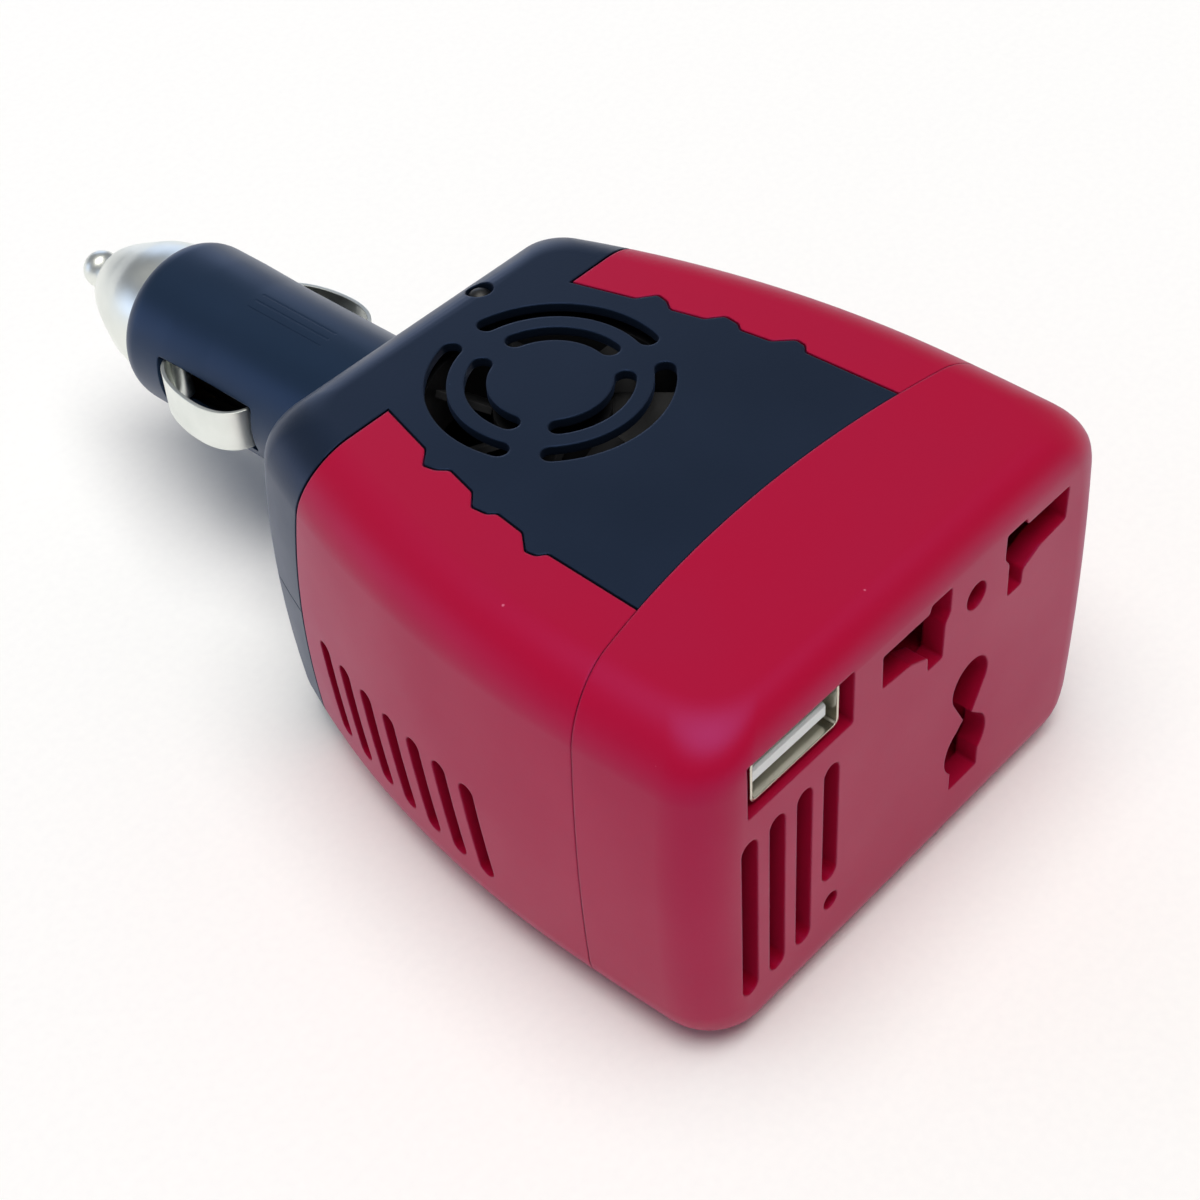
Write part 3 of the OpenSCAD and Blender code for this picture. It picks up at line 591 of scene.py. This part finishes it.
screwWells = []
for x, s in screw["places"]:
    for side in (1, -1):
        screwWells += [rod((side * x, s, -1), *screw["well"]), rod((side * x, s, -1), *screw["hole"])]
lower = combine(copyOf(outer), "DIFFERENCE", shellInner, drum, *panelHollows,
                block((*farLow[:2], middle - housing["seamGap"]), farHigh), barrelHole, *vents, *screwWells)
handOver(lower, "lowerShellSkin", materials["mouldedBlackAbs"], "housing", ["lower_shell"])
print("shells done")

# side panels

rightPanel = combine(copyOf(outer), "DIFFERENCE", panelInner, *vents,
                     *[rod((x, s, -1), *screw["panelHole"]) for x, s in screw["places"]])
combine(rightPanel, "INTERSECT", panelSpace(sidePanel["gap"]))
leftPanel = mirrored(rightPanel)
handOver(rightPanel, "rightPanelSkin", materials["mouldedCrimsonAbs"], "housing",
         ["right_side_panel"])
handOver(leftPanel, "leftPanelSkin", materials["mouldedCrimsonAbs"], "housing",
         ["left_side_panel"])
print("panels done")

# outlet cover, with the block behind its openings

outlet = dict(x=8.9, bossDepth=5, lineBoss=(17.2, 29.2, 40.6), earthBoss=(5, 6.6, 29.6),
              lineHollow=(4, 16.4, 30.1, 40.2), earthHollow=(4.2, 7.4, 28.9), hollowEnd=12,
              earthTop=(22.8, 3.05), earthLow=(13.6, 3.65), waist=(0.75, 17.8), square=(2.5, 8.4, 12.4),
              spot=(-0.2, 35.1, 1.65),
              line=[(4.6, 39.5), (8, 39.5), (8.2, 38.6), (15.6, 38.6), (15.5, 34.3), (11, 33.9), (8.1, 32.6),
                    (8, 30.7), (5.5, 30.7), (5.4, 35.2), (4.6, 36.3)])
frontVent = dict(count=4, first=-26.55, pitch=4.1, width=2.4, low=7.4, shortLow=13.4, high=30.2,
                 spot=(-13.9, 9.7, 1.1))
port = dict(x=-19, z=36.8, width=13.1, height=5.7, wall=0.35, front=0.7, length=14,
            cut=(-7.8, 7.9, -3.4, 3.5))


def outletBoss():
    o = outlet
    front, back = housing["face"] - 0.2, housing["face"] + o["bossDepth"]
    lineSide, lineLow, lineHigh = o["lineBoss"]
    earthSide, earthLow, earthHigh = o["earthBoss"]
    return [block((o["x"] - lineSide, front, lineLow), (o["x"] + lineSide, back, lineHigh)),
            block((o["x"] - earthSide, front, earthLow), (o["x"] + earthSide, back - 0.01, earthHigh))]


# the ends stand at slightly different depths, so that no two lie in one plane
def outletCutters():
    o = outlet
    topZ, lowZ = o["earthTop"][0], o["earthLow"][0]
    neck, neckZ = o["waist"]
    square, squareLow, squareHigh = o["square"]
    out = [prism([(o["x"] + side * a, z) for a, z in o["line"]], -1, 11, "s", rounding=0.3) for side in (1, -1)]
    out += [rod((o["x"], -1, z), radius, 12, along="s") for z, radius in (o["earthTop"], o["earthLow"])]
    waist = [(-2.7, topZ - 1.4), (-neck, neckZ), (-2.9, lowZ + 2.2),
             (2.9, lowZ + 2.2), (neck, neckZ), (2.7, topZ - 1.4)]
    out.append(prism([(o["x"] + a, z) for a, z in waist], -1, 11.02, "s"))
    out.append(prism(rectangle(o["x"] - square, o["x"] + square, squareLow, squareHigh), -1, 11.04, "s",
                     rounding=0.25))
    across, height, radius = o["spot"]
    return out + [rod((o["x"] + across, -1, height), radius, 6, along="s")]


def frontVentCutters():
    v = frontVent
    out = []
    for i in range(v["count"]):
        low = v["shortLow"] if i == v["count"] - 1 else v["low"]
        place = v["first"] + i * v["pitch"]
        out.append(prism([(place + a, (v["high"] + low) / 2 + b)
                          for a, b in roundEnded(v["high"] - low, v["width"])], -1, 5, "s"))
    across, height, radius = v["spot"]
    return out + [rod((across, -1, height), radius, 6, along="s")]


# room for the brass sockets behind each opening
def outletHollows():
    o = outlet
    near, far, low, high = o["lineHollow"]
    earthSide, earthLow, earthHigh = o["earthHollow"]
    out = []
    for side in (1, -1):
        left, right = sorted((o["x"] + side * near, o["x"] + side * far))
        out.append(block((left, housing["face"], low), (right, o["hollowEnd"], high)))
    return out + [block((o["x"] - earthSide, housing["face"], earthLow),
                        (o["x"] + earthSide, o["hollowEnd"], earthHigh))]


def portCutter():
    left, right, low, high = port["cut"]
    return prism(rectangle(port["x"] + left, port["x"] + right, port["z"] + low, port["z"] + high),
                 -1, 5, "s", rounding=0.3)


coverInner = combine(bodyForm(housing["coverWall"]), "INTERSECT",
                     block((farLow[0], housing["face"], farLow[2]), farHigh))
cover = combine(copyOf(outer), "DIFFERENCE", coverInner)
combine(cover, "INTERSECT", seamDrum(-housing["seamGap"]))
combine(cover, "UNION", *outletBoss())
combine(cover, "DIFFERENCE", *outletCutters(), *frontVentCutters(), *outletHollows(), portCutter())
handOver(cover, "outletCoverSkin", materials["mouldedCrimsonAbs"], "housing",
         ["front_cover", "outlet_boss"])
print("cover done")

# folded port shell with rolled lips, and its tongue

tongue = dict(front=1.5, back=11.5, low=35.1, height=1.84, width=11.1, chamfer=0.3)


def portOutline(draw=0):
    wide, tall = port["width"] / 2 - draw, port["height"] / 2 - draw
    return rectangle(port["x"] - wide, port["x"] + wide, port["z"] - tall, port["z"] + tall)


def portShellPiece():
    front, back = port["front"], port["front"] + port["length"]
    shell = prism(portOutline(), front, back, "s", rounding=0.8)
    hollow = prism(portOutline(port["wall"]), front - 1, back - port["wall"], "s", rounding=0.5)
    combine(shell, "DIFFERENCE", hollow)
    return softenEdges(shell, 0.09, 2, 60)


def portTonguePiece():
    t = tongue
    low, high, chamfer = t["low"], t["low"] + t["height"], t["chamfer"]
    outline = [(t["front"], low + chamfer), (t["front"] + chamfer, low), (t["back"], low), (t["back"], high),
               (t["front"] + chamfer, high), (t["front"], high - chamfer)]
    piece = prism(outline, port["x"] - t["width"] / 2, port["x"] + t["width"] / 2, "x")
    # the block that holds the tongue fills the shell, a hair short of its walls
    wide = port["width"] / 2 - port["wall"] - 0.01
    tall = port["height"] / 2 - port["wall"] - 0.01
    combine(piece, "UNION", block((port["x"] - wide, t["back"] - 0.5, port["z"] - tall),
                                  (port["x"] + wide, t["back"] + 1, port["z"] + tall)))
    return softenEdges(piece, 0.06, 2, 30)


handOver(portShellPiece(), "portShellSkin", materials["nickelPlatedSteelSheet"], "housing", ["usb_shell"])
handOver(portTonguePiece(), "portTongueSkin", materials["mouldedWhitePolymer"], "housing", ["usb_tongue"])
print("port done")

# plug: barrel, nose cap, tip and the two side leaves

plugAxis = (0, 0, plug["height"])
barrel = dict(start=64.5, end=111.4, flange=12, flangeDepth=2.8, flare=(96, 0.2), rim=(1.4, 2.6),
              slot=(87.9, 104.4, 3.3), pinHole=(8, 0.6, 4.3),
              line=dict(places=(-2, -0.7, 0.6), low=83, high=95.5, width=0.3, depth=0.03))
noseCap = dict(base=111.4, end=124.8, bore=2.55, lip=1.2, spigot=(8.35, 7.4, 4.4))
tip = dict(radius=2.45, end=130.2, waist=2.15, collar=(3, 120.6, 123.2))
leaf = dict(thickness=0.5, width=5.6, pivot=(-8, 102.9), eye=1.1, pin=0.65,
            front=[(-8.3, 103.7), (-11.2, 104.4), (-13, 98.5), (-12.8, 93.8)],
            rear=[(-12.8, 93.8), (-12.6, 91.6), (-11.9, 89.4), (-9.3, 88.8)])


# the leaf openings, the pin holes and three faint lines along the top
def barrelCutters():
    b = barrel
    low, high, half = b["slot"]
    pinX, pinRadius, pinHalf = b["pinHole"]
    line = b["line"]
    out = []
    for side in (1, -1):
        inside, outside = sorted((side * 4, side * 14))
        out.append(prism(rectangle(low, high, plug["height"] - half, plug["height"] + half),
                         inside, outside, "x", rounding=0.5))
        out.append(rod((side * pinX, leaf["pivot"][1], plug["height"] - pinHalf), pinRadius, 2 * pinHalf,
                       segments=32))
    for x in line["places"]:
        top = plug["height"] + math.sqrt(plug["rear"] ** 2 - x ** 2)
        out.append(block((x - line["width"] / 2, line["low"], top - line["depth"]),
                         (x + line["width"] / 2, line["high"], top + 1)))
    return out


def barrelPiece():
    b = barrel
    flareStart, flareRise = b["flare"]
    rimAcross, rimAlong = b["rim"]
    profile = [(plug["bore"], b["start"]), (b["flange"], b["start"]),
               (b["flange"], b["start"] + b["flangeDepth"]),
               (plug["rear"] + 0.01, b["start"] + b["flangeDepth"]), (plug["rear"], b["start"] + 3)]
    profile += [(plug["rear"] + flareRise * k / 8, flareStart + k) for k in range(9)]
    profile += [(plug["front"], b["end"] - 3)]
    for angle in range(6, 91, 7):
        turn = math.radians(angle)
        profile.append((plug["front"] - rimAcross + rimAcross * math.cos(turn),
                        b["end"] - rimAlong + rimAlong * math.sin(turn)))
    profile += [(plug["bore"], b["end"])]
    return combine(turned(profile, plugAxis, closed=True), "DIFFERENCE", *barrelCutters())


def noseCapPiece():
    base, end, bore, lip = (noseCap[k] for k in ("base", "end", "bore", "lip"))
    spigot, spigotBore, spigotLength = noseCap["spigot"]
    # (radius, place past the base) down the outside of the cone
    cone = [(8.75, 0.5), (8.6, 2.6), (8.2, 4.6), (7.7, 6), (7.1, 7.4), (6.5, 8.8), (5.6, 10.6), (4.9, 11.8)]
    profile = [(spigotBore, base - spigotLength), (spigot, base - spigotLength), (spigot, base + 0.05),
               (8.6, base + 0.05), (8.72, base + 0.15)]
    profile += smoothLine([(radius, base + s) for radius, s in cone], 5)
    # the rolled lip round the tip, then the inside of the cap
    profile += [(4.3, end - 1), (4, end - 0.85), (3.8, end - 0.45), (3.55, end - 0.15), (3.2, end),
                (bore + 0.1, end), (bore, end - 0.1), (bore, end - lip), (3.6, end - lip),
                (4.3, base + 10), (6, base + 7), (7.3, base + 2)]
    return turned(profile, plugAxis, closed=True)


def tipPiece():
    radius, end, waist = tip["radius"], tip["end"], tip["waist"]
    collar, collarStart, collarEnd = tip["collar"]
    profile = [(radius * math.sin(math.radians(a)), end - radius + radius * math.cos(math.radians(a)))
               for a in range(0, 116, 6)]
    profile += [(waist, end - 4.1), (waist, end - 4.7), (radius - 0.05, end - 5.1),
                (radius - 0.05, collarEnd + 0.1), (radius, collarEnd),
                (collar - 0.1, collarEnd), (collar, collarEnd - 0.1),
                (collar, collarStart + 0.1), (collar - 0.1, collarStart), (0, collarStart)]
    return turned(profile, plugAxis, steps=96)


def bezier(p, t):
    weights = ((1 - t) ** 3, 3 * t * (1 - t) ** 2, 3 * t * t * (1 - t), t ** 3)
    return Vector([sum(w * point[k] for w, point in zip(weights, p)) for k in (0, 1)])


# a bowed spring strip, with an eye on its pin at the front end
def leafPiece():
    line = [bezier(leaf["front"], i / 20) for i in range(20)]
    line += [bezier(leaf["rear"], i / 16) for i in range(17)]
    half = leaf["thickness"] / 2
    sides = []
    for i in range(len(line)):
        along = (line[min(i + 1, len(line) - 1)] - line[max(i - 1, 0)]).normalized()
        sides.append(Vector((-along[1], along[0])) * half)
    points = [p + n for p, n in zip(line, sides)] + [p - n for p, n in reversed(list(zip(line, sides)))]
    low, high = plug["height"] - leaf["width"] / 2, plug["height"] + leaf["width"] / 2
    strip = prism([tuple(p) for p in points], low, high)
    softenEdges(strip, 0.1)
    eye = rod((*leaf["pivot"], low + 0.02), leaf["eye"], leaf["width"] - 0.04, segments=48)
    combine(strip, "UNION", eye)
    return combine(strip, "DIFFERENCE", rod((*leaf["pivot"], low - 1), leaf["pin"], 8, segments=32))


handOver(barrelPiece(), "plugBarrelSkin", materials["polishedBlackAbsPaintedLighter"], "housing",
         ["plug_barrel"])
handOver(noseCapPiece(), "noseCapSkin", materials["nickelPlatedBrass"], "housing",
         ["nose_cap"], 40)
handOver(tipPiece(), "tipContactSkin", materials["nickelPlatedBrass"], "tip",
         ["tip_contact"], 40)
leftLeaf = leafPiece()
rightLeaf = mirrored(leftLeaf)
handOver(leftLeaf, "leftLeafSkin", materials["nickelPlatedStrip"], "left_leaf", ["left_contact"])
handOver(rightLeaf, "rightLeafSkin", materials["nickelPlatedStrip"], "right_leaf",
         ["right_contact"])
print("plug done")

for obj in list(scratch):
    bpy.data.objects.remove(obj)
scratch.clear()

# stage

board = dict(half=6, colour="#fbfbfb", shade="#f6f6f7", toothScale=900, roughness=0.9)  # tooth about 1.1 mm


# matt painted board: pale, with a barely visible tooth
def makeStage():
    material, tree, spot = newMaterial("mattPaintedBoard")
    tooth = addNode(tree, "ShaderNodeTexNoise", {}, {"Vector": spot, "Scale": board["toothScale"], "Detail": 2})
    colour = addNode(tree, "ShaderNodeMixRGB", {}, {
        "Fac": tooth.outputs["Fac"], "Color1": linear(board["colour"]), "Color2": linear(board["shade"])})
    shader = addNode(tree, "ShaderNodeBsdfPrincipled", {}, {
        "Base Color": colour.outputs[0], "Roughness": board["roughness"]})
    addNode(tree, "ShaderNodeOutputMaterial", {}, {"Surface": shader.outputs[0]})
    bm = bmesh.new()
    bmesh.ops.create_grid(bm, x_segments=2, y_segments=2, size=board["half"])
    mesh = bpy.data.meshes.new("floor")
    bm.to_mesh(mesh)
    bm.free()
    mesh.materials.append(material)
    floor = bpy.data.objects.new("floor", mesh)
    bpy.context.scene.collection.objects.link(floor)


# a broad soft sun overhead and two pale blue panels low behind
lights = dict(
    above=dict(kind="SUN", place=(-0.1, -0.1, 1.3), angle=50, power=2.7, colour="#fffcf6"),
    backLeft=dict(kind="AREA", place=(-0.75, 0.95, 0.3), size=0.5, power=1.1, colour="#c8dcff"),
    backRight=dict(kind="AREA", place=(0.6, 0.9, 0.3), size=0.5, power=0.8, colour="#c8dcff"))
# the studio's walls are pale near the floor and dimmer overhead
surround = dict(low=0.8, high=0.2, fadeEnd=0.3, colour="#f0f5ff")


def makeLights():
    for name, item in lights.items():
        data = bpy.data.lights.new(name, item["kind"])
        if item["kind"] == "SUN":
            data.angle = math.radians(item["angle"])
        else:
            data.size = item["size"]
        data.energy = item["power"]
        data.color = linear(item["colour"])[:3]
        lampObject = bpy.data.objects.new(name, data)
        lampObject.location = item["place"]
        lampObject.rotation_euler = (-Vector(item["place"])).to_track_quat("-Z", "Y").to_euler()
        bpy.context.scene.collection.objects.link(lampObject)
    world = bpy.data.worlds.new("studio")
    bpy.context.scene.world = world
    world.use_nodes = True
    tree = world.node_tree
    tree.nodes.clear()
    direction = addNode(tree, "ShaderNodeTexCoord").outputs["Generated"]
    split = addNode(tree, "ShaderNodeSeparateXYZ", {}, {0: direction})
    strength = addNode(tree, "ShaderNodeMapRange", {}, {
        "Value": split.outputs["Z"], "From Min": 0, "From Max": surround["fadeEnd"],
        "To Min": surround["low"], "To Max": surround["high"]})
    sky = addNode(tree, "ShaderNodeBackground", {}, {
        "Color": linear(surround["colour"]), "Strength": strength.outputs[0]})
    addNode(tree, "ShaderNodeOutputWorld", {}, {"Surface": sky.outputs[0]})
    bpy.context.scene.view_settings.view_transform = "Standard"


view = dict(place=(-0.13131, -0.15111, 0.19103), azimuth=-45.5, elevation=43.68, roll=-4.04, lens=68.54)


def makeCamera():
    azimuth, elevation, roll = (math.radians(view[k]) for k in ("azimuth", "elevation", "roll"))
    back = Vector((math.sin(azimuth) * math.cos(elevation),
                   -math.cos(azimuth) * math.cos(elevation),
                   math.sin(elevation)))
    right = Vector((math.cos(azimuth), math.sin(azimuth), 0))
    up = back.cross(right)
    across = right * math.cos(roll) + up * math.sin(roll)
    upright = up * math.cos(roll) - right * math.sin(roll)
    data = bpy.data.cameras.new("camera")
    data.lens = view["lens"]
    data.sensor_width = 36
    data.clip_start = 0.005
    camera = bpy.data.objects.new("camera", data)
    turn = Matrix((across, upright, back)).transposed().to_4x4()
    camera.matrix_world = Matrix.Translation(view["place"]) @ turn
    bpy.context.scene.collection.objects.link(camera)
    bpy.context.scene.camera = camera


makeStage()
makeLights()
makeCamera()
print("stage done")
